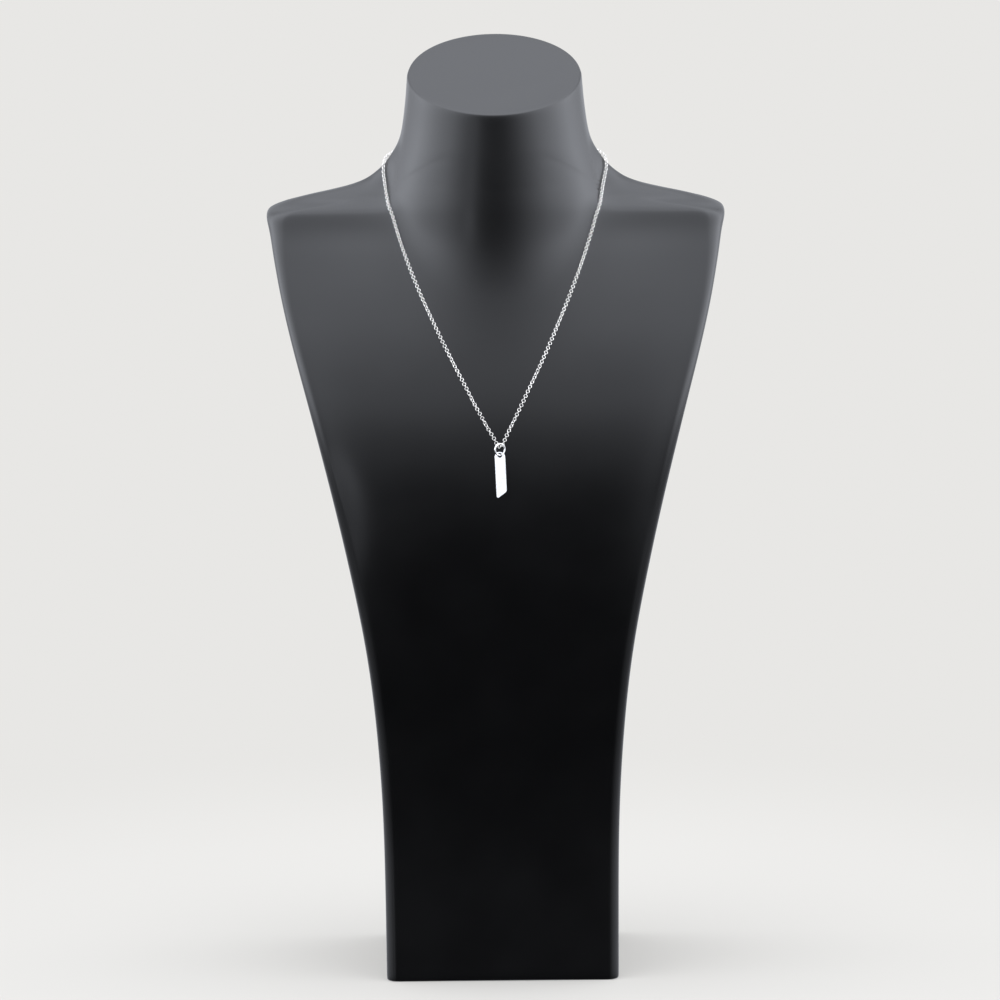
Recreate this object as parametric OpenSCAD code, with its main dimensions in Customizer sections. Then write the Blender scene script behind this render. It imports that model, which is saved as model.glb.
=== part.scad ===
// Bar pendant on a fine chain, hung on a black neck bust.
// Millimetres. The origin is the middle of the bust's base, +Z is up,
// and the chest faces -Y.

/* [Bust] */
// Height of the bust, to the back rim of its slanted neck cut
bust_height = 437.4; // [380:0.1:520]
// Height of the corners of the shoulders
shoulder_height = 356.3; // [320:1:400]
// Width over the corners of the shoulders
shoulder_width = 213.2; // [180:0.1:260]
// Front-to-back thickness of the corners of the shoulders
shoulder_thickness = 34; // [28:1:46]
// How far the chest stands in front of the neck's middle
chest_front = 63.5; // [54:0.5:75]
// How far the front curves back towards its upright edges
chest_crown = 4; // [0:0.5:6]
// How far the back stands behind the neck's middle
back_depth = 46; // [40:0.5:60]
// Width of the base
base_width = 108.5; // [90:0.1:140]
// Front-to-back depth of the base
base_depth = 96; // [80:1:120]
// Width of the neck at its cut
neck_width = 80.8; // [70:0.1:95]
// Front-to-back depth of the neck at its cut
neck_depth = 84; // [75:0.5:100]
// Forward slant of the neck cut, in degrees
neck_cut_angle = 22.65; // [12:0.05:30]
// Rounding of the upright edges of the body
edge_round = 5; // [3:0.5:14]
// Rounding of the rim of the neck cut and of the foot's lower edge
rim_round = 1.2; // [0.5:0.1:3]

/* [Chain] */
// Width over the links of the chain
chain_width = 1.4; // [1:0.1:2]
// Gap kept between the chain and what it lies on
chain_gap = 0.35; // [0.3:0.05:0.6]
// How far the pendant hangs to the right of the bust's middle
pendant_aside = 0.95; // [0:0.1:3]

/* [Clasp] */
// Outer diameter of the clasp ring
clasp_diameter = 6.5; // [5:0.1:9]
// Thickness of the clasp ring's tube
clasp_wire = 1.4; // [1:0.1:2]

/* [Pendant ring] */
// Outer diameter of the jump ring
ring_diameter = 5.95; // [5:0.05:7.5]
// Thickness of the jump ring's wire
ring_wire = 0.75; // [0.6:0.05:1]
// Turn of the jump ring out of the plane of the chest, in degrees
ring_turn = 33; // [25:1:40]

/* [Bar] */
// Length of the bar, over its round top and its slanted tip
bar_length = 21; // [18:0.5:40]
// Width of the bar
bar_width = 4.85; // [4:0.05:8]
// Thickness of the bar
bar_thickness = 0.7; // [0.6:0.05:1]
// Metal left above the hole for the jump ring
hole_rim = 0.55; // [0.5:0.05:2]
// Slope of the cut tip, in degrees
tip_slope = 35; // [20:1:50]
// Lean of the bar in its own plane, in degrees
bar_lean = 2.3; // [0:0.1:5]
// Turn of the bar about its length, against the ring's turn, in degrees
bar_turn = 12; // [8:1:20]

/* [Hidden] */
// Steps round the bust in each quarter: share of the way up the flat side, angle round the
// upright edge, and shares of the outer and the inner part of the flat front or back
quarter_steps = concat(
    [for (side = [0, 0.35, 0.7]) [side, 0, 1, 1]],
    [for (edge = [0:11.25:90]) [1, edge, 1, 1]],
    [for (outer = [0.75, 0.5, 0.25, 0]) [1, 90, outer, 1]],
    [for (inner = [0.87, 0.74, 0.61, 0.48, 0.36, 0.24, 0.12, 0]) [1, 90, 0, inner]]);
last_quarter = len(quarter_steps) - 1;
// Number of the step in its quarter, with the signs of its quarter, all the way round
bust_steps = concat(
    [for (k = [0:last_quarter - 1]) [k, 1, 1]], [for (k = [last_quarter:-1:1]) [k, -1, 1]],
    [for (k = [0:last_quarter - 1]) [k, -1, -1]], [for (k = [last_quarter:-1:1]) [k, 1, -1]]);

// Body of the bust: height as a share of the shoulder height, and above 1 of the way from
// there to the middle of the neck cut; width from the base's (0) to the shoulders' (1), front
// and back from the base's or the shoulder's (0) to the deepest (1), rounding of the upright
// edges from edge_round (0) to half the thickness (1), and share of the chest's crown
body_rows = [
    [0, 0, 0, 0, 0, 0], [0.16, 0.005, 0.05, 0, 0, 0], [0.3, 0.04, 0.27, 0, 0, 0.05],
    [0.43, 0.127, 0.6, 0, 0, 0.2], [0.56, 0.29, 0.92, 0.5, 0, 0.7], [0.64, 0.411, 1, 1, 0, 1],
    [0.7, 0.511, 0.98, 0.99, 0, 1], [0.76, 0.616, 0.913, 0.96, 0, 1],
    [0.82, 0.73, 0.748, 0.88, 0, 0.95], [0.885, 0.843, 0.51, 0.7, 0, 0.85],
    [0.945, 0.927, 0.26, 0.42, 0.05, 0.6], [0.98, 0.971, 0.105, 0.18, 0.2, 0.35],
    [0.992, 0.993, 0.06, 0.1, 0.3, 0.3], [1, 1, 0.03, 0.05, 0.5, 0.25],
    [1.045, 0.967, 0, 0, 0.9, 0.1], [1.09, 0.82, -0.04, -0.06, 1, 0], [1.135, 0.61, -0.08, -0.12, 1, 0],
    [1.175, 0.355, -0.11, -0.16, 1, 0], [1.22, 0.15, -0.13, -0.2, 1, 0], [1.28, 0.005, -0.15, -0.24, 1, 0],
    [1.36, -0.13, -0.17, -0.3, 1, 0], [1.465, -0.27, -0.22, -0.36, 1, 0], [1.56, -0.5, -0.28, -0.45, 1, 0]];
// Height of the deepest part of the chest, as a share of the shoulder height
chest_share = 0.64;
// Neck: height from the shoulders (0) to the back rim (1), and its width and depth as shares
// of those at the cut; it fades out inside the chest below the shoulders
neck_rows = [
    [-1.4, 0.5, 0.6], [-0.95, 0.85, 0.93], [-0.7, 1.03, 1], [-0.45, 1.14, 1.01],
    [-0.2, 1.21, 1.01], [0, 1.235, 1.01], [0.24, 1.165, 1.005], [0.38, 1.1, 1.003],
    [0.59, 1.032, 1], [0.8, 1, 1], [1, 1, 1]];
// Sharpness of the blend between the neck and the body, at the sides and in front
side_blend = 8;
front_blend = 6.5;

// Chain round the neck and down the chest: angle from the front, height as in body_rows, and
// how much wider the angle is on the left; the first row is the nape, where the chain stops
// short of the clasp
drape_rows = [
    [180, 1.555, 0], [165, 1.548, 0], [150, 1.535, 0], [135, 1.517, 0], [120, 1.493, 0],
    [107, 1.465, 0], [98, 1.438, 0], [92.5, 1.41, 0], [88, 1.36, 0], [83.4, 1.28, 0.6],
    [76.4, 1.165, 1.3], [68.9, 1.053, 1.1], [64.3, 0.997, 1.1], [60.4, 0.979, 1.1], [50.2, 0.939, 1],
    [40.1, 0.899, 0.9], [30.4, 0.859, 0.6], [21.8, 0.82, 0.3], [13.4, 0.78, 0.3], [9.7, 0.76, 0.4]];
// Chain from there through the jump ring, on the right and on the left: across, behind and
// above its lowest point, which is inside the ring
thread_right = [[8.1, 2.75, 14.7], [6.15, 1.65, 11], [4.3, 0.6, 7.4], [2.85, -0.4, 4.5],
                [2, -1, 2.5], [1.65, -1.1, 1.6], [1.3, -0.95, 0.8], [0.75, -0.55, 0.2]];
thread_left = [[-0.75, 0.55, 0.2], [-1.3, 0.95, 0.8], [-1.65, 1.1, 1.6], [-2.05, 1.2, 2.5],
               [-3.2, 1.5, 4.5], [-4.95, 1.9, 7.4], [-7, 2.5, 11], [-8.95, 3.15, 14.7]];
// Height of the jump ring's middle, as a share of the shoulder height
ring_share = 0.706;
// Gap between the jump ring and the chain that it hangs on, and between the ring and the chest
ring_gap = 0.25;
ring_clearance = 0.75;
// Room on each side of the ring's wire in the bar's hole, and how far the hole hangs below it
hole_clearance = 0.17;
hang_play = 0.08;
// Roundings of the bar's long corner and of its tip
corner_round = 1.6;
tip_round = 0.7;

function sign_of(a) = a > 0 ? 1 : a < 0 ? -1 : 0;
// Smooth change from 0 to 1 as x goes from 0 to 1
function ease(x) = let (t = min(1, max(0, x))) t * t * (3 - 2 * t);
// Slope of column c at row i, kept flat enough that the curve never overshoots a row
function slope(rows, i, c) =
    i == 0 || i == len(rows) - 1 ? 0 :
    let (h0 = rows[i][0] - rows[i - 1][0], h1 = rows[i + 1][0] - rows[i][0],
         s0 = (rows[i][c] - rows[i - 1][c]) / h0, s1 = (rows[i + 1][c] - rows[i][c]) / h1,
         mean = (s0 * h1 + s1 * h0) / (h0 + h1))
    (sign_of(s0) + sign_of(s1)) * min(abs(s0), abs(s1), abs(mean) / 2);
// Row that starts the stretch holding u
function row_before(rows, u, i = 0) =
    i >= len(rows) - 2 || rows[i + 1][0] > u ? i : row_before(rows, u, i + 1);
// Smooth value of column c at u
function value_at(rows, u, c) =
    u <= rows[0][0] ? rows[0][c] :
    u >= rows[len(rows) - 1][0] ? rows[len(rows) - 1][c] :
    let (i = row_before(rows, u), h = rows[i + 1][0] - rows[i][0], s = (u - rows[i][0]) / h,
         a = rows[i][c], b = rows[i + 1][c],
         m0 = slope(rows, i, c) * h, m1 = slope(rows, i + 1, c) * h)
    a + m0 * s + (3 * (b - a) - 2 * m0 - m1) * s * s + (m0 + m1 - 2 * (b - a)) * s * s * s;

// Distance from the axis to a rounded rectangle's edge, and to an oval's
function box_reach(a, b, r, c, s) =
    s * a <= c * (b - r) ? a / c :
    c * b <= s * (a - r) ? b / s :
    let (k = (a - r) * c + (b - r) * s)
    k + sqrt(max(0, k * k - pow(a - r, 2) - pow(b - r, 2) + r * r));
function oval_reach(a, b, c, s) = 1 / sqrt(pow(c / a, 2) + pow(s / b, 2));

// Height of the neck's axis at its cut, and heights given as shares, in millimetres
cut_drop = neck_depth / 2 * tan(neck_cut_angle);
cut_middle = bust_height - cut_drop;
function height(share) =
    min(share, 1) * shoulder_height + max(share - 1, 0) * (cut_middle - shoulder_height);
body_table = [for (row = body_rows) [height(row[0]), row[1], row[2], row[3], row[4], row[5]]];
// Half the width and half the depth of the body at a height, on its front or its back
function body_half_width(z) =
    max(1, base_width / 2 + value_at(body_table, z, 1) * (shoulder_width - base_width) / 2);
function body_half_depth(z, front) =
    let (full = front ? chest_front : back_depth,
         start = z < height(chest_share) ? base_depth / 2 : shoulder_thickness / 2)
    max(1, start + value_at(body_table, z, front ? 2 : 3) * (full - start));
// How far the front has curved back at the upright edges at a height
function body_crown(z, front) = front ? chest_crown * value_at(body_table, z, 5) : 0;
// Rounding of the upright edges at a height, for half the width and depth there
function body_round(z, a, b) =
    let (thin = min(a, b), flat = min(edge_round, thin))
    flat + value_at(body_table, z, 4) * (thin - flat);
// Distance from the bust's axis to its surface, for a direction (0 is the right-hand side,
// 270 the front) and a height; the slope of the shoulders is oval, the rest has flat sides
function bust_reach(angle, z) =
    let (c = abs(cos(angle)), s = abs(sin(angle)),
         v = (z - shoulder_height) / (bust_height - shoulder_height),
         front = sin(angle) < 0, a = body_half_width(z), deep = body_half_depth(z, front),
         crown = body_crown(z, front), aside = s * a <= c * deep ? 1 : c * deep / (s * a),
         b = deep - crown * pow(aside, 4), sharp = side_blend + (front_blend - side_blend) * ease(s),
         oval = ease((z - shoulder_height) / (height(1.11) - shoulder_height)),
         body = (1 - oval) * box_reach(a, b, body_round(z, a, deep - crown), c, s) + oval * oval_reach(a, b, c, s),
         neck = oval_reach(neck_width / 2 * value_at(neck_rows, v, 1),
                           neck_depth / 2 * value_at(neck_rows, v, 2), c, s))
    pow(pow(body, sharp) + pow(neck, sharp), 1 / sharp);
// Direction of a step round the bust: it follows the body's flats and upright edges, with the
// inner part of the flats below the neck and bent round it where the neck stands out further,
// and higher up it spreads out evenly round the neck
function step_angle(step, z) =
    let (q = quarter_steps[step[0]], a = body_half_width(z), front = step[2] < 0,
         b = body_half_depth(z, front) - body_crown(z, front),
         r = body_round(z, a, b), inner = min(0.7 * (a - r), neck_width / 2),
         even = 90 * step[0] / last_quarter,
         spread = ease((z - height(1.17)) / (height(1.5) - height(1.17))),
         edge = atan2((b - r) * q[0] + r * sin(q[1]) + (1 - q[3]) * max(0, neck_depth / 2 - b),
                      inner * q[3] + (a - r - inner) * q[2] + r * cos(q[1])),
         turn = edge + (even - edge) * spread)
    atan2(step[2] * sin(turn), step[1] * cos(turn));

// The rings slant more and more over the stretch below the neck cut
slant_run = 2.3 * cut_drop;
function slant(z) = max(0, 1 - (cut_middle - z) / slant_run) * tan(neck_cut_angle);
// One ring of the bust at height z on its axis, drawn inward and lifted by the given amounts
function bust_ring(z, inward = 0, lift = 0) = [
    for (step = bust_steps)
        let (a = step_angle(step, z), neck = oval_reach(neck_width / 2, neck_depth / 2, cos(a), sin(a)),
             level = z + slant(z) * neck * sin(a), r = bust_reach(a, level) - inward)
        [r * cos(a), r * sin(a), level + lift]];
body_shares = [
    0.05, 0.11, 0.16, 0.21, 0.26, 0.31, 0.36, 0.41, 0.46, 0.51, 0.56, 0.61, 0.66, 0.7, 0.74, 0.78,
    0.815, 0.845, 0.87, 0.895, 0.915, 0.935, 0.952, 0.966, 0.978, 0.988, 0.996, 1.015, 1.045,
    1.075, 1.105, 1.135, 1.16, 1.185, 1.21, 1.24, 1.275, 1.315, 1.36, 1.415, 1.48, 1.56, 1.7, 1.85];
rim_steps = [0, 30, 60, 90];
bust_rings = concat(
    [for (a = rim_steps) bust_ring(rim_round * (1 - cos(a)), rim_round * (1 - sin(a)))],
    [for (u = body_shares) bust_ring(height(u))],
    [for (a = rim_steps)
        bust_ring(cut_middle, rim_round * (1 - cos(a)), -rim_round * (1 - sin(a)))]);

// Skin over a list of equal rings, closed by a face at both ends; the two halves of the ring
// are split into triangles in mirror image
module skin(rings) {
    n = len(rings[0]);
    last = len(rings) - 1;
    polyhedron(
        points = [for (ring = rings, p = ring) p],
        faces = concat(
            [[for (k = [0:n - 1]) k]],
            [for (i = [0:last - 1], k = [0:n - 1], half = [0, 1])
                let (a = i * n + k, b = i * n + (k + 1) % n, left = floor(4 * k / n) % 3 > 0)
                left ? (half == 0 ? [a, a + n, b] : [b, a + n, b + n])
                     : (half == 0 ? [a, a + n, b + n] : [a, b + n, b])],
            [[for (k = [n - 1:-1:0]) last * n + k]]),
        convexity = 6);
}

// Jump ring: it stands off the chest by the reach of its turned rim
ring_radius = (ring_diameter - ring_wire) / 2;
ring_height = ring_share * shoulder_height;
ring_standoff = ring_radius * sin(ring_turn) + ring_wire / 2 + ring_clearance;
ring_middle = [pendant_aside, -bust_reach(270, ring_height) - ring_standoff, ring_height];

// Clasp: a ring with an eye on each side, against the nape
eye_wire = 0.8;
eye_radius = 0.9;
clasp_radius = (clasp_diameter - clasp_wire) / 2;
clasp_height = height(drape_rows[0][1]);
clasp_reach = bust_reach(90, clasp_height - clasp_radius) + clasp_wire / 2 + chain_gap;
clasp_half_length = clasp_radius + 2 * eye_radius + eye_wire / 2;
nape_angle = 180 - atan((clasp_half_length + chain_gap) / clasp_reach);

// Point of the bust's surface, and the direction that stands square on the surface there
function surface_point(angle, z) = let (r = bust_reach(angle, z)) [r * cos(angle), r * sin(angle), z];
function surface_normal(angle, z) =
    let (p = surface_point(angle, z),
         n = cross(surface_point(angle + 0.5, z) - p, surface_point(angle, z + 0.2) - p))
    n / norm(n);
// Steps of the chain on the bust, two for each row, and the point of the chain's middle line
// at a step, to the right (1) or to the left (-1)
drape_table = [for (row = drape_rows) [row[0], height(row[1]), row[2]]];
drape_steps = [
    for (i = [0:len(drape_table) - 2], t = [0, 0.5])
        drape_table[i] * (1 - t) + drape_table[i + 1] * t,
    drape_table[len(drape_table) - 1]];
function drape_point(step, side) =
    let (wide = step[0] + (side < 0 ? step[2] : 0),
         turn = wide > 90 ? 90 + (wide - 90) * (nape_angle - 90) / 90 : wide,
         angle = 270 + side * turn,
         aside = pendant_aside * pow(max(0, 1 - step[0] / 70), 3))
    surface_point(angle, step[1]) + [aside, 0, 0]
    + (chain_width / 2 + chain_gap) * surface_normal(angle, step[1]);
chain_low = ring_middle + [0, 0, ring_radius - (ring_wire + chain_width) / 2 - ring_gap];
last_step = len(drape_steps) - 1;
chain_line = concat(
    [for (step = drape_steps) drape_point(step, 1)],
    [for (p = thread_right) chain_low + p], [chain_low], [for (p = thread_left) chain_low + p],
    [for (i = [last_step:-1:0]) drape_point(drape_steps[i], -1)]);
function chain_direction(i) =
    let (d = chain_line[min(i + 1, len(chain_line) - 1)] - chain_line[max(i - 1, 0)]) d / norm(d);
// Eight-sided ring of the chain, square to its line
function chain_ring(i) =
    let (p = chain_line[i], t = chain_direction(i), out = [p[0], p[1], 0] / norm([p[0], p[1]]),
         across = out - (out * t) * t, u = across / norm(across), v = cross(t, u))
    [for (k = [0:7]) p + chain_width / 2 * (cos(45 * k) * u + sin(45 * k) * v)];

// The hole passes the ring's wire, which crosses the bar at an angle
crossing = ring_turn + bar_turn;
bar_hole = ring_wire / sin(crossing) + bar_thickness / tan(crossing) + 2 * hole_clearance;
hole_drop = bar_hole / 2 + hole_rim;

// Outline of the bar about its hole, top up
bar_side = bar_width / 2;
top_middle = hole_drop - bar_side;
tip_middle = [-bar_side + tip_round, hole_drop - bar_length + tip_round];
corner_across = bar_side - corner_round;
corner_middle = [corner_across, tip_middle[1]
    + tan(tip_slope) * (corner_across - tip_middle[0])
    - (tip_round - corner_round) / cos(tip_slope)];
cut_normal = [sin(tip_slope), -cos(tip_slope)];
module bar_outline() {
    translate([0, top_middle]) circle(r = bar_side, $fn = 64);
    translate(corner_middle) circle(r = corner_round, $fn = 48);
    translate(tip_middle) circle(r = tip_round, $fn = 48);
    polygon([[-bar_side, top_middle], [-bar_side, tip_middle[1]], tip_middle,
        tip_middle + tip_round * cut_normal, corner_middle + corner_round * cut_normal,
        corner_middle, [bar_side, corner_middle[1]], [bar_side, top_middle]]);
}

module bust() {
    color([0.06, 0.06, 0.07]) skin(bust_rings);
}

module chain() {
    color([0.86, 0.86, 0.88]) skin([for (i = [0:len(chain_line) - 1]) chain_ring(i)]);
}

// Ring of round wire, standing in the plane of X and Z
module wire_ring(radius, wire) {
    rotate([90, 0, 0]) rotate_extrude($fn = 96) translate([radius, 0]) circle(d = wire, $fn = 32);
}

module clasp() {
    color([0.86, 0.86, 0.88]) translate([0, clasp_reach, clasp_height]) {
        wire_ring(clasp_radius, clasp_wire);
        for (side = [-1, 1])
            translate([side * (clasp_radius + eye_radius), 0, 0]) wire_ring(eye_radius, eye_wire);
    }
}

module pendant_ring() {
    color([0.9, 0.9, 0.92]) translate(ring_middle) rotate([0, 0, ring_turn])
        wire_ring(ring_radius, ring_wire);
}

module bar() {
    color([0.93, 0.93, 0.94])
        translate(ring_middle - [0, 0, ring_radius + hang_play])
        rotate([0, 0, -bar_turn]) rotate([90, 0, 0]) rotate([0, 0, bar_lean])
        difference() {
            linear_extrude(bar_thickness, center = true) bar_outline();
            cylinder(d = bar_hole, h = 2 * bar_thickness, center = true, $fn = 48);
        }
}

bust();
chain();
clasp();
pendant_ring();
bar();
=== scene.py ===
import math

import bmesh
import bpy
from mathutils import Matrix, Vector
from mathutils.bvhtree import BVHTree


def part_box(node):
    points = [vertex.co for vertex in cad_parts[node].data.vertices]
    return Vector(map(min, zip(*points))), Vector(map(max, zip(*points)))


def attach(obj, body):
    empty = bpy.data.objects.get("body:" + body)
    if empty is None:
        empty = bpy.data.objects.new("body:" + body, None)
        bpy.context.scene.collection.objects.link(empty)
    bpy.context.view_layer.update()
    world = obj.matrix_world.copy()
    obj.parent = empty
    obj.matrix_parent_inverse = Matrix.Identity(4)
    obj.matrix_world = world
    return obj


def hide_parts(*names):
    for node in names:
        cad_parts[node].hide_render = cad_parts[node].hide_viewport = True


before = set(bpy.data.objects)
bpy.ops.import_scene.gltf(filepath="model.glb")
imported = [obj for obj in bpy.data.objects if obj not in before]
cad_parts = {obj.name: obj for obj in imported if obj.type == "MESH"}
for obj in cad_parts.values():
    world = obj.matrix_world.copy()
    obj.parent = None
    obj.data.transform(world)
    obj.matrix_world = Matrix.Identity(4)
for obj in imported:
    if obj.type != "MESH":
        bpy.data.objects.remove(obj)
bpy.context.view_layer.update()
MM = 0.001

# ---- Neck bust --------------------------------------------------------------------------
# A tall armless display bust, one hollow resin casting with a slanting neck and a flat foot.
# It is sprayed all over with satin black lacquer, so its edges are soft and its sheen is even.

NECK_CUT = math.radians(22.65)
RIM_LAND = 0.6 * MM
SMALLEST_FLAT = 1e-5
JOINED_WITHIN = 0.002 * MM
NO_DISTANCE = 0.01 * MM
SMOOTHINGS = 2
CLOUD_SIZE = 30 * MM
GRAIN_SIZE = 1.6 * MM
GRAIN_DEPTH = 0.004 * MM


def merged_copy(node):
    """The mesh of a CAD solid with its loose triangles joined, for a piece made from it."""
    copy = bmesh.new()
    copy.from_mesh(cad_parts[node].data)
    bmesh.ops.remove_doubles(copy, verts=copy.verts, dist=JOINED_WITHIN)
    copy.normal_update()
    return copy


def finished_piece(name, shape, body, slot, *stands_for):
    """Puts a shape in the scene as a smooth piece that rides on its body."""
    mesh = bpy.data.meshes.new(name)
    shape.to_mesh(mesh)
    shape.free()
    mesh.shade_smooth()
    piece = bpy.data.objects.new(name, mesh)
    bpy.context.scene.collection.objects.link(piece)
    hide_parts(*stands_for)
    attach(piece, body)
    return piece


def new_material(name):
    """A material with its node tree, its shader and the object's own coordinates."""
    material = bpy.data.materials.new(name)
    material.use_nodes = True
    tree = material.node_tree
    place = tree.nodes.new("ShaderNodeTexCoord").outputs["Object"]
    return material, tree, tree.nodes["Principled BSDF"], place


def noise(tree, place, size, detail=2.0):
    """A noise whose spots are about size across, from 0 to 1."""
    spots = tree.nodes.new("ShaderNodeTexNoise")
    spots.inputs["Scale"].default_value = 1 / size
    spots.inputs["Detail"].default_value = detail
    tree.links.new(place, spots.inputs["Vector"])
    return spots.outputs["Fac"]


def spread(tree, value, low, high, socket, start=0.3, end=0.7):
    """Carries a noise to a socket, stretched from low to high."""
    stretch = tree.nodes.new("ShaderNodeMapRange")
    stretch.inputs["From Min"].default_value = start
    stretch.inputs["From Max"].default_value = end
    stretch.inputs["To Min"].default_value = low
    stretch.inputs["To Max"].default_value = high
    tree.links.new(value, stretch.inputs["Value"])
    tree.links.new(stretch.outputs["Result"], socket)


def bump(tree, value, depth, shader):
    """Lets a noise stand up from the surface by depth."""
    relief = tree.nodes.new("ShaderNodeBump")
    relief.inputs["Distance"].default_value = depth
    tree.links.new(value, relief.inputs["Height"])
    tree.links.new(relief.outputs["Normal"], shader.inputs["Normal"])


def flat_faces(shape, facing):
    """The faces of a shape that look the same way."""
    return [face for face in shape.faces if face.normal.dot(facing) > 1 - SMALLEST_FLAT]


def slanting_edges(shape):
    """The edges that split a casting's four-sided faces, found ring by ring from its foot.

    Each point of a ring has an upright edge above it, and mostly a slanting one too. The point
    at the middle of the front has one to each side.
    """
    ring = {v for v in shape.verts if v.co.z < NO_DISTANCE}
    seen, slanting = set(), []
    while ring:
        seen |= ring
        rising = {v: [edge for edge in v.link_edges if edge.other_vert(v) not in seen]
                  for v in ring}
        for v, edges in rising.items():
            if len(edges) == 2:
                a, b = (edge.other_vert(v).co for edge in edges)
                turns_left = a.x * b.y > a.y * b.x
                slanting.append(edges[turns_left == (v.co.x > 0)])
            elif len(edges) == 3:
                slanting += [e for e in edges if abs(e.other_vert(v).co.x) > NO_DISTANCE]
        ring = {edge.other_vert(v) for v, edges in rising.items() for edge in edges}
    return slanting


casting = merged_copy("bust")
lands = []
for facing in (Vector((0, 0, -1)), Vector((0, -math.sin(NECK_CUT), math.cos(NECK_CUT)))):
    lands += bmesh.ops.dissolve_faces(casting, faces=flat_faces(casting, facing))["region"]
bmesh.ops.dissolve_edges(casting, edges=slanting_edges(casting))
bmesh.ops.inset_individual(casting, faces=lands, thickness=RIM_LAND, use_even_offset=True)
bust_surface = BVHTree.FromBMesh(casting)

bust = finished_piece("neck_bust", casting, "stand", "bust", "bust")
rounding = bust.modifiers.new("rounding", "SUBSURF")
rounding.levels = rounding.render_levels = SMOOTHINGS

lacquer, tree, shader, place = new_material("satin_black_lacquer")
shader.inputs["Base Color"].default_value = (0.0004, 0.0004, 0.0005, 1)
shader.inputs["IOR"].default_value = 1.5
spread(tree, noise(tree, place, CLOUD_SIZE), 0.2, 0.25, shader.inputs["Roughness"])
bump(tree, noise(tree, place, GRAIN_SIZE), GRAIN_DEPTH, shader)
bust.data.materials.append(lacquer)

# ---- Trace chain ------------------------------------------------------------------------
# A fine trace chain of polished silver: oval wire links, each a quarter turn from the last.
# The links are cut from round wire, closed and soldered, and the ends go through the clasp.

LINK_WIRE = 0.27 * MM
LINK_WIDTH = 1.8 * MM
LINK_STEP = 1.18 * MM
LINK_PLAY = 0.03 * MM
LINK_BENDS = 12
WIRE_SIDES = 5
TUBE_SIDES = 8
EYE_WIRE = 0.8 * MM
CURVE_STEPS = 12
EASING = 150
EASING_HELD = 12 * MM
SILVER_GRAIN = 0.002 * MM
# Where the links lie flat on the bust again, a quarter turn on, in mm of chain from the pendant
FLAT_LEFT = (6, 18, 33, 56, 90, 123, 150)
FLAT_RIGHT = (4, 22, 55, 79, 111)

clasp_low, clasp_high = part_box("clasp")
clasp_middle = (clasp_low + clasp_high) / 2


def tube_line(node, start):
    """The middle line of a tube, ring by ring, from the end that is nearest to start."""
    tube = merged_copy(node)
    ring = sorted(tube.verts, key=lambda v: (v.co - start).length)[:TUBE_SIDES]
    seen, line = set(), []
    while ring:
        line.append(sum((v.co for v in ring), Vector()) / len(ring))
        seen.update(ring)
        ring = list({edge.other_vert(v) for v in ring for edge in v.link_edges} - seen)
    tube.free()
    return line


def rounded(line, steps):
    """The same line with steps points to each stretch, on a smooth curve."""
    curve = []
    for i in range(len(line) - 1):
        a, b, c, d = (line[min(max(k, 0), len(line) - 1)] for k in range(i - 1, i + 3))
        for s in range(steps):
            t = s / steps
            curve.append(0.5 * (2 * b + (c - a) * t + (2 * a - 5 * b + 4 * c - d) * t * t
                                + (3 * b - a - 3 * c + d) * t ** 3))
    return curve + [line[-1]]


def eased(curve, passes, held):
    """The curve with its small kinks drawn smooth, except within held of its ends and low point."""
    low = min(curve, key=lambda p: p.z)
    hold = [min((p - end).length for end in (curve[0], curve[-1], low)) for p in curve]
    share = [min(max(reach / held - 1, 0), 1) / 2 for reach in hold]
    for _ in range(passes):
        curve = [curve[0]] + [
            b.lerp((a + c) / 2, s) for a, b, c, s in zip(curve, curve[1:], curve[2:], share[1:])
        ] + [curve[-1]]
    return curve


def line_length(line):
    """The length of a line of points."""
    return sum((b - a).length for a, b in zip(line, line[1:]))


def even_steps(curve, count):
    """count + 1 points at equal steps along a curve."""
    reach = [0.0]
    for a, b in zip(curve, curve[1:]):
        reach.append(reach[-1] + (b - a).length)
    points, i = [], 0
    for step in range(count + 1):
        wanted = reach[-1] * step / count
        while i < len(curve) - 2 and reach[i + 1] < wanted:
            i += 1
        share = (wanted - reach[i]) / (reach[i + 1] - reach[i])
        points.append(curve[i].lerp(curve[i + 1], share))
    return points


def wire_ring(shape, radius, wire, bends, sides, turn=2 * math.pi, start=0.0):
    """A ring of round wire about Z in the plane of X and Y, whole or open."""
    section = bmesh.ops.create_circle(
        shape, segments=sides, radius=wire / 2,
        matrix=Matrix.Rotation(start, 4, "Z") @ Matrix.Translation((radius, 0, 0))
        @ Matrix.Rotation(math.pi / 2, 4, "X"))["verts"]
    edges = list({edge for v in section for edge in v.link_edges})
    whole = turn == 2 * math.pi
    bmesh.ops.spin(shape, geom=section + edges, cent=(0, 0, 0), axis=(0, 0, 1), angle=turn,
                   steps=bends, use_merge=whole)
    if not whole:
        bmesh.ops.holes_fill(shape, edges=[edge for edge in shape.edges if edge.is_boundary])
    bmesh.ops.recalc_face_normals(shape, faces=shape.faces)


def oval_link():
    """One link along X in the plane of X and Y: a ring pulled out to an oval."""
    link = bmesh.new()
    radius = (LINK_WIDTH - LINK_WIRE) / 2
    wire_ring(link, radius, LINK_WIRE, LINK_BENDS, WIRE_SIDES, start=math.pi / LINK_BENDS)
    stretch = (LINK_STEP + LINK_PLAY + LINK_WIRE) / 2 - radius
    for side in (-1, 1):
        half = [v for v in link.verts if v.co.x * side > 0]
        bmesh.ops.translate(link, verts=half, vec=(side * stretch, 0, 0))
    mesh = bpy.data.meshes.new("link")
    link.to_mesh(mesh)
    link.free()
    return mesh


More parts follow.
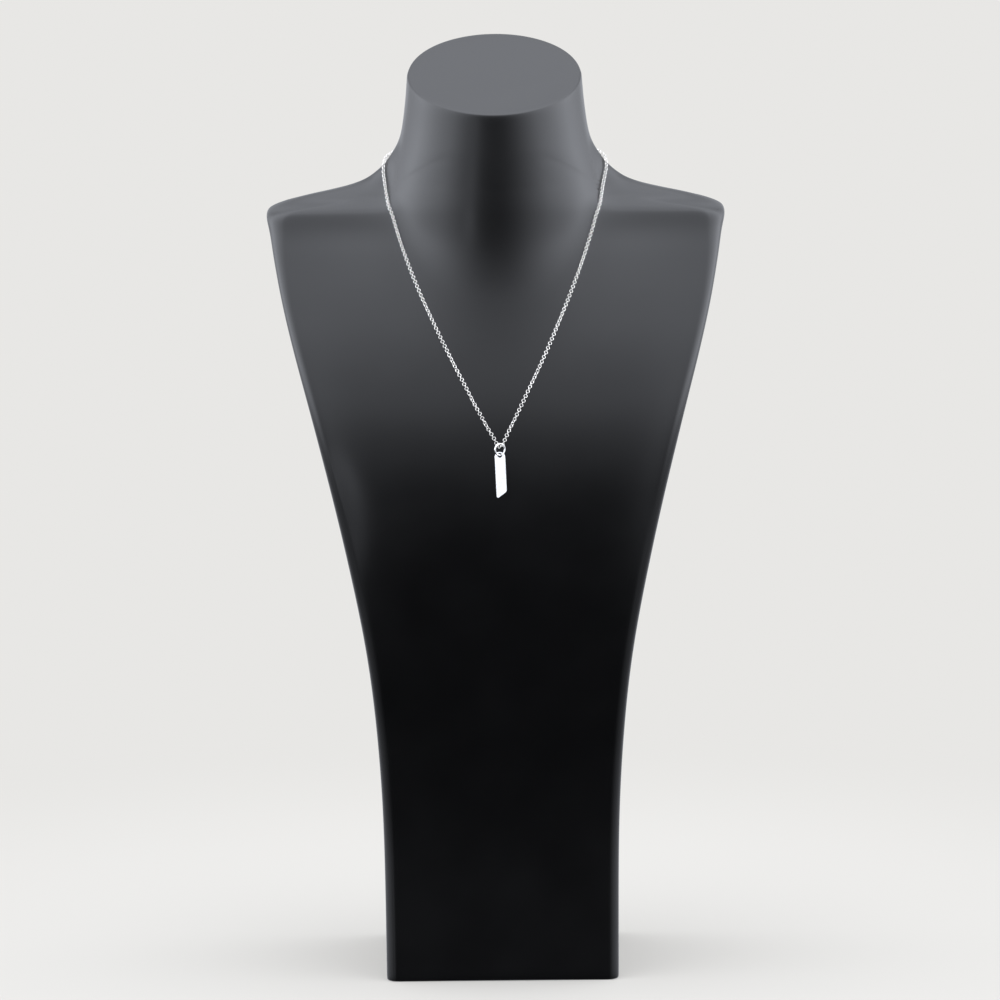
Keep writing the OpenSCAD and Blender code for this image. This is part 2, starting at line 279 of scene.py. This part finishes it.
def chain_roll(reach, flat_again):
    """How far the chain has rolled about its line, reach from the pendant."""
    roll = 0.0
    for a, b in zip(flat_again, flat_again[1:]):
        share = min(max((reach / MM - a) / (b - a), 0), 1)
        roll += math.pi / 2 * share * share * (3 - 2 * share)
    return roll


right_end = clasp_middle + Vector(((clasp_high.x - clasp_low.x) / 2, 0, 0))
hook = Vector((right_end.x - clasp_middle.x - EYE_WIRE - LINK_WIRE
               + (LINK_STEP + LINK_PLAY + LINK_WIRE) / 2 - LINK_STEP / 2, 0, 0))
tube = tube_line("chain", right_end)
path = rounded([clasp_middle + hook] + tube + [clasp_middle - hook], CURVE_STEPS)
path = eased(path, EASING, EASING_HELD)
standing_off = LINK_WIDTH / 2 + LINK_PLAY
for k, point in enumerate(path):
    nearest = bust_surface.find_nearest(point)[0]
    apart = point - nearest
    if apart.length < standing_off:
        path[k] = nearest + apart.normalized() * standing_off
links = 2 * round((line_length(path) / LINK_STEP - 1) / 2) + 1
joins = even_steps(path, links)
middle_link = min(range(links), key=lambda k: joins[k].z)

one_link = oval_link()
chain_shape = bmesh.new()
for k in range(links):
    a, b = joins[k], joins[k + 1]
    middle, along = (a + b) / 2, (b - a).normalized()
    nearest = bust_surface.find_nearest(middle)[0]
    outward = (middle - nearest).normalized()
    outward = (outward - outward.dot(along) * along).normalized()
    flat_again = FLAT_RIGHT if k < middle_link else FLAT_LEFT
    roll = chain_roll(abs(k - middle_link) * LINK_STEP, flat_again)
    if k % 2 == 0:
        roll += math.pi / 2
    across = Matrix.Rotation(roll, 3, along) @ outward.cross(along)
    turn = Matrix((along, across, along.cross(across))).transposed().to_4x4()
    first = len(chain_shape.verts)
    chain_shape.from_mesh(one_link)
    chain_shape.verts.ensure_lookup_table()
    bmesh.ops.transform(chain_shape, matrix=Matrix.Translation(middle) @ turn,
                        verts=chain_shape.verts[first:])
bpy.data.meshes.remove(one_link)
chain = finished_piece("trace_chain", chain_shape, "stand", "chain", "chain")


def polished_silver(name, tone, rough_low, rough_high, scratch, depth):
    """Silver with a soft polish: fine wear in its roughness and a faint grain."""
    material, tree, shader, place = new_material(name)
    shader.inputs["Base Color"].default_value = tone
    shader.inputs["Metallic"].default_value = 1.0
    spread(tree, noise(tree, place, scratch * 6, 3), rough_low, rough_high,
           shader.inputs["Roughness"])
    bump(tree, noise(tree, place, scratch), depth, shader)
    return material


chain.data.materials.append(
    polished_silver("chain_silver", (0.98, 0.95, 0.9, 1), 0.26, 0.36, 0.25 * MM, SILVER_GRAIN))

# ---- Clasp ------------------------------------------------------------------------------
# A sprung bolt ring behind the nape, where the photograph can't show it. It is a bent tube
# with a sliding bolt and a thumb stud, and a soldered eye on each side takes the chain.

CLASP_WIRE = 1.4 * MM
EYE_RADIUS = 0.9 * MM
CLASP_RADIUS = (clasp_high.z - clasp_low.z - CLASP_WIRE) / 2
TUBE_START, TUBE_TURN = math.radians(100), math.radians(292)
BOLT_WIRE = 0.9 * MM
BOLT_START, BOLT_TURN = math.radians(28), math.radians(76)
STUD_ANGLE = math.radians(118)
STUD_FOOT, STUD_TOP, STUD_LENGTH = 0.32 * MM, 0.26 * MM, 1 * MM

clasp_shape = bmesh.new()


def add_clasp_part(radius, wire, bends, sides, aside, turn=2 * math.pi, start=0.0):
    """Adds a ring or an arc of wire to the clasp, standing up in the plane of X and Z."""
    part = bmesh.new()
    wire_ring(part, radius, wire, bends, sides, turn, start)
    bmesh.ops.transform(part, matrix=Matrix.Translation(clasp_middle + Vector((aside, 0, 0)))
                        @ Matrix.Rotation(math.pi / 2, 4, "X"), verts=part.verts)
    mesh = bpy.data.meshes.new("part")
    part.to_mesh(mesh)
    part.free()
    clasp_shape.from_mesh(mesh)
    bpy.data.meshes.remove(mesh)


add_clasp_part(CLASP_RADIUS, CLASP_WIRE, 52, 20, 0, TUBE_TURN, TUBE_START)
add_clasp_part(CLASP_RADIUS, BOLT_WIRE, 20, 16, 0, BOLT_TURN, BOLT_START)
for side in (-1, 1):
    add_clasp_part(EYE_RADIUS, EYE_WIRE, 32, 14, side * (CLASP_RADIUS + EYE_RADIUS))
stud_way = Vector((math.cos(STUD_ANGLE), 0, math.sin(STUD_ANGLE)))
bmesh.ops.create_cone(
    clasp_shape, cap_ends=True, segments=20, radius1=STUD_FOOT, radius2=STUD_TOP,
    depth=STUD_LENGTH,
    matrix=Matrix.Translation(clasp_middle + stud_way * (CLASP_RADIUS + CLASP_WIRE / 2))
    @ stud_way.to_track_quat("Z", "Y").to_matrix().to_4x4())
clasp = finished_piece("bolt_ring_clasp", clasp_shape, "stand", "clasp", "clasp")
clasp.data.materials.append(
    polished_silver("clasp_silver", (0.94, 0.935, 0.925, 1), 0.1, 0.2, 0.3 * MM, SILVER_GRAIN))

# ---- Jump ring --------------------------------------------------------------------------
# A round of silver wire bent to a ring and closed with a butt seam. The chain runs through
# it, and the bar hangs on it.

RING_DIAMETER = 5.95 * MM
RING_WIRE = 0.75 * MM
RING_TURN = math.radians(33)
SEAM = 0.03 * MM
SEAM_AT = math.radians(250)

ring_low, ring_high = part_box("pendant_ring")
ring_radius = (RING_DIAMETER - RING_WIRE) / 2
ring_shape = bmesh.new()
seam_turn = SEAM / ring_radius
wire_ring(ring_shape, ring_radius, RING_WIRE, 120, 24, 2 * math.pi - seam_turn, SEAM_AT)
bmesh.ops.transform(
    ring_shape, verts=ring_shape.verts,
    matrix=Matrix.Translation((ring_low + ring_high) / 2) @ Matrix.Rotation(RING_TURN, 4, "Z")
    @ Matrix.Rotation(math.pi / 2, 4, "X"))
ring = finished_piece("jump_ring", ring_shape, "pendant", "ring", "pendant_ring")
ring.data.materials.append(
    polished_silver("ring_silver", (0.95, 0.945, 0.935, 1), 0.08, 0.16, 0.3 * MM, SILVER_GRAIN))

# ---- Bar --------------------------------------------------------------------------------
# A slim bar sawn from silver sheet, round at the top and slanted at the tip. It is drilled
# for the ring, and its edges are broken before the last polish.

EDGE_BREAK = 0.09 * MM
SHARP = math.radians(30)
ALMOST_FLAT = math.radians(1)
WIDE_FACE = 8 * MM * MM

bar_shape = merged_copy("bar")
bmesh.ops.dissolve_limit(bar_shape, angle_limit=ALMOST_FLAT, verts=bar_shape.verts,
                         edges=bar_shape.edges)
corners = [edge for edge in bar_shape.edges if edge.calc_face_angle(0) > SHARP]
bmesh.ops.bevel(bar_shape, geom=corners, offset=EDGE_BREAK, segments=3, profile=0.5,
                affect="EDGES", material=-1, clamp_overlap=True)
bar = finished_piece("polished_bar", bar_shape, "pendant", "bar", "bar")
for face in bar.data.polygons:
    face.use_smooth = face.area < WIDE_FACE
bar.data.materials.append(
    polished_silver("bar_silver", (0.97, 0.967, 0.96, 1), 0.14, 0.22, 0.2 * MM, 0.003 * MM))

# ---- Floor, light and camera ------------------------------------------------------------
# A pale paper sweep that runs far back and partly glows with painted light, with wide soft lights
# on both sides and overhead.
# The studio is dark below the front of the object, which leaves the lower chest black.

PAPER = (0.806, 0.799, 0.783, 1)
FLOOR_RADIUS = 80
# The paper shows its real shade round a spot in front of the foot. A painted even glow of pale
# light lightens that shade a little there, and beyond it takes over wholly, so the paper turns
# plain white.
SHADE_MIDDLE = (0, -0.05, 0)
SHADE_FULL, SHADE_GONE = 0.05, 0.6
NEAREST_GLOW_SHARE = 0.28

floor_shape = bmesh.new()
bmesh.ops.create_circle(floor_shape, cap_ends=True, segments=96, radius=FLOOR_RADIUS)
floor_mesh = bpy.data.meshes.new("floor")
floor_shape.to_mesh(floor_mesh)
floor_shape.free()
floor = bpy.data.objects.new("floor", floor_mesh)
bpy.context.scene.collection.objects.link(floor)
floor.visible_glossy = False
floor.visible_shadow = False

paper, tree, shader, place = new_material("paper_sweep")
shader.inputs["Base Color"].default_value = (0.388, 0.373, 0.34, 1)
shader.inputs["Roughness"].default_value = 0.9
shader.inputs["Specular IOR Level"].default_value = 0.0
# The glow is painted light: an even pale emission mixed into the paper, which fills its real
# shadow.
glow = tree.nodes.new("ShaderNodeEmission")
glow.inputs["Color"].default_value = PAPER
away = tree.nodes.new("ShaderNodeVectorMath")
away.operation = "DISTANCE"
away.inputs[1].default_value = SHADE_MIDDLE
tree.links.new(place, away.inputs[0])
fade = tree.nodes.new("ShaderNodeMapRange")
fade.interpolation_type = "SMOOTHSTEP"
fade.inputs["From Min"].default_value = SHADE_FULL
fade.inputs["From Max"].default_value = SHADE_GONE
fade.inputs["To Min"].default_value = NEAREST_GLOW_SHARE
tree.links.new(away.outputs["Value"], fade.inputs["Value"])
mix = tree.nodes.new("ShaderNodeMixShader")
tree.links.new(fade.outputs["Result"], mix.inputs["Fac"])
tree.links.new(shader.outputs["BSDF"], mix.inputs[1])
tree.links.new(glow.outputs["Emission"], mix.inputs[2])
tree.links.new(mix.outputs["Shader"], tree.nodes["Material Output"].inputs["Surface"])
floor.data.materials.append(paper)

# Brightness of the studio by how high a light stands (degrees), in front, at the sides, behind
FRONT = ((-90, 0.03), (-20, 0.05), (-13, 0.08), (-7, 0.12), (-1, 0.29), (2, 0.42), (13, 0.8),
         (22, 1.15), (34, 1.25), (43, 1.5), (48, 1.8), (53, 2.1), (60, 3.2), (90, 3.4))
SIDES = ((-90, 0.15), (-25, 0.3), (-17, 0.6), (-12, 1.05), (-4, 2.7), (5, 4.1), (30, 3.9),
         (60, 3.8), (90, 3.4))
BEHIND = ((-90, 0.6), (0, 0.75), (20, 0.8), (34, 0.95), (43, 1.15), (50, 1.6), (60, 2.4), (90, 3.4))
# Share of the sides' light by the cosine of the turn from the front
TOWARDS_FRONT = ((0, 1.0), (0.34, 0.86), (0.59, 0.7), (0.77, 0.43), (0.857, 0.28), (0.94, 0.11),
                 (0.985, 0.02), (1.0, 0.0))
TOWARDS_BACK = ((0, 1.0), (0.26, 0.95), (0.66, 0.28), (0.82, 0.07), (1.0, 0.0))
BRIGHTEST = 5
# A small white card, low at the left, that whitens the bar, and a soft box over each shoulder:
# turn to the right and height (degrees), reach of the whole and of its even middle, brightness
CARDS = ((-24, -8, 8, 3, 0.95), (-27, 50, 20, 6, 0.35), (27, 50, 20, 6, 0.35))

world = bpy.data.worlds.new("studio")
bpy.context.scene.world = world
world.use_nodes = True
tree = world.node_tree
tree.nodes.clear()


def join(kind, *values, operation=None):
    """A node with its inputs set or linked in turn; gives its first output."""
    node = tree.nodes.new(kind)
    if operation:
        node.operation = operation
    for socket, value in zip(node.inputs, values):
        if isinstance(value, bpy.types.NodeSocket):
            tree.links.new(value, socket)
        else:
            socket.default_value = value
    return node.outputs[0]


def maths(operation, *values):
    """One sum of the light, from numbers or from other sums."""
    return join("ShaderNodeMath", *values, operation=operation)


def by_table(value, table, low, high, top):
    """The value that a table gives, as a float curve from low to high, up to top."""
    node = tree.nodes.new("ShaderNodeFloatCurve")
    curve = node.mapping.curves[0]
    for i, (x, y) in enumerate(table):
        spot = ((x - low) / (high - low), y / top)
        if i in (0, 1):
            curve.points[i].location = spot
        else:
            curve.points.new(*spot)
        curve.points[i].handle_type = "VECTOR"
    node.mapping.update()
    share = maths("DIVIDE", maths("SUBTRACT", value, low), high - low)
    tree.links.new(share, node.inputs["Value"])
    return maths("MULTIPLY", node.outputs["Value"], top)


direction = tree.nodes.new("ShaderNodeTexCoord").outputs["Generated"]
split = tree.nodes.new("ShaderNodeSeparateXYZ")
tree.links.new(direction, split.inputs[0])
x, y, z = split.outputs
height = maths("DEGREES", maths("ARCSINE", z))
ground = maths("MAXIMUM", maths("SQRT", maths("ADD", maths("MULTIPLY", x, x),
                                              maths("MULTIPLY", y, y))), 1e-4)
facing = maths("MULTIPLY", maths("DIVIDE", y, ground), -1.0)
front = by_table(height, FRONT, -90, 90, BRIGHTEST)
sides = by_table(height, SIDES, -90, 90, BRIGHTEST)
behind = by_table(height, BEHIND, -90, 90, BRIGHTEST)
to_front = by_table(maths("MAXIMUM", facing, 0.0), TOWARDS_FRONT, 0, 1, 1)
to_back = by_table(maths("MAXIMUM", maths("MULTIPLY", facing, -1.0), 0.0), TOWARDS_BACK, 0, 1, 1)
in_front = maths("GREATER_THAN", facing, 0.0)


def blend(a, b, share):
    """a where share is 0, b where it is 1."""
    return maths("ADD", maths("MULTIPLY", a, maths("SUBTRACT", 1.0, share)),
                 maths("MULTIPLY", b, share))


studio = blend(blend(behind, sides, to_back), blend(front, sides, to_front), in_front)
for turn, rise, wide, even, bright in CARDS:
    way = Matrix.Rotation(math.radians(turn), 3, "Z") @ Matrix.Rotation(
        math.radians(-rise), 3, "X") @ Vector((0, -1, 0))
    towards = tree.nodes.new("ShaderNodeVectorMath")
    towards.operation = "DOT_PRODUCT"
    towards.inputs[1].default_value = way
    tree.links.new(direction, towards.inputs[0])
    card = tree.nodes.new("ShaderNodeMapRange")
    card.interpolation_type = "SMOOTHSTEP"
    card.inputs["From Min"].default_value = math.cos(math.radians(wide))
    card.inputs["From Max"].default_value = math.cos(math.radians(even))
    card.inputs["To Max"].default_value = bright
    tree.links.new(towards.outputs["Value"], card.inputs["Value"])
    studio = maths("ADD", studio, card.outputs["Result"])
light = tree.nodes.new("ShaderNodeBackground")
light.inputs["Color"].default_value = (0.94, 0.975, 1.06, 1)
tree.links.new(studio, light.inputs["Strength"])
seen = tree.nodes.new("ShaderNodeBackground")
seen.inputs["Color"].default_value = PAPER
mix = tree.nodes.new("ShaderNodeMixShader")
tree.links.new(tree.nodes.new("ShaderNodeLightPath").outputs["Is Camera Ray"],
               mix.inputs["Fac"])
tree.links.new(light.outputs["Background"], mix.inputs[1])
tree.links.new(seen.outputs["Background"], mix.inputs[2])
tree.links.new(mix.outputs["Shader"],
               tree.nodes.new("ShaderNodeOutputWorld").inputs["Surface"])

CAMERA_PLACE = (0.00077, -1.9, 0.470)
LOOKS_DOWN = math.radians(7.5)
HELD_ASKEW = math.radians(-0.55)

camera = bpy.data.objects.new("camera", bpy.data.cameras.new("camera"))
camera.data.lens = 146.56
camera.data.sensor_width = 36
camera.data.clip_end = 500
bpy.context.scene.collection.objects.link(camera)
camera.matrix_world = (Matrix.Translation(CAMERA_PLACE)
                       @ Matrix.Rotation(math.pi / 2 - LOOKS_DOWN, 4, "X")
                       @ Matrix.Rotation(HELD_ASKEW, 4, "Z"))
bpy.context.scene.camera = camera
bpy.context.scene.view_settings.view_transform = "Standard"
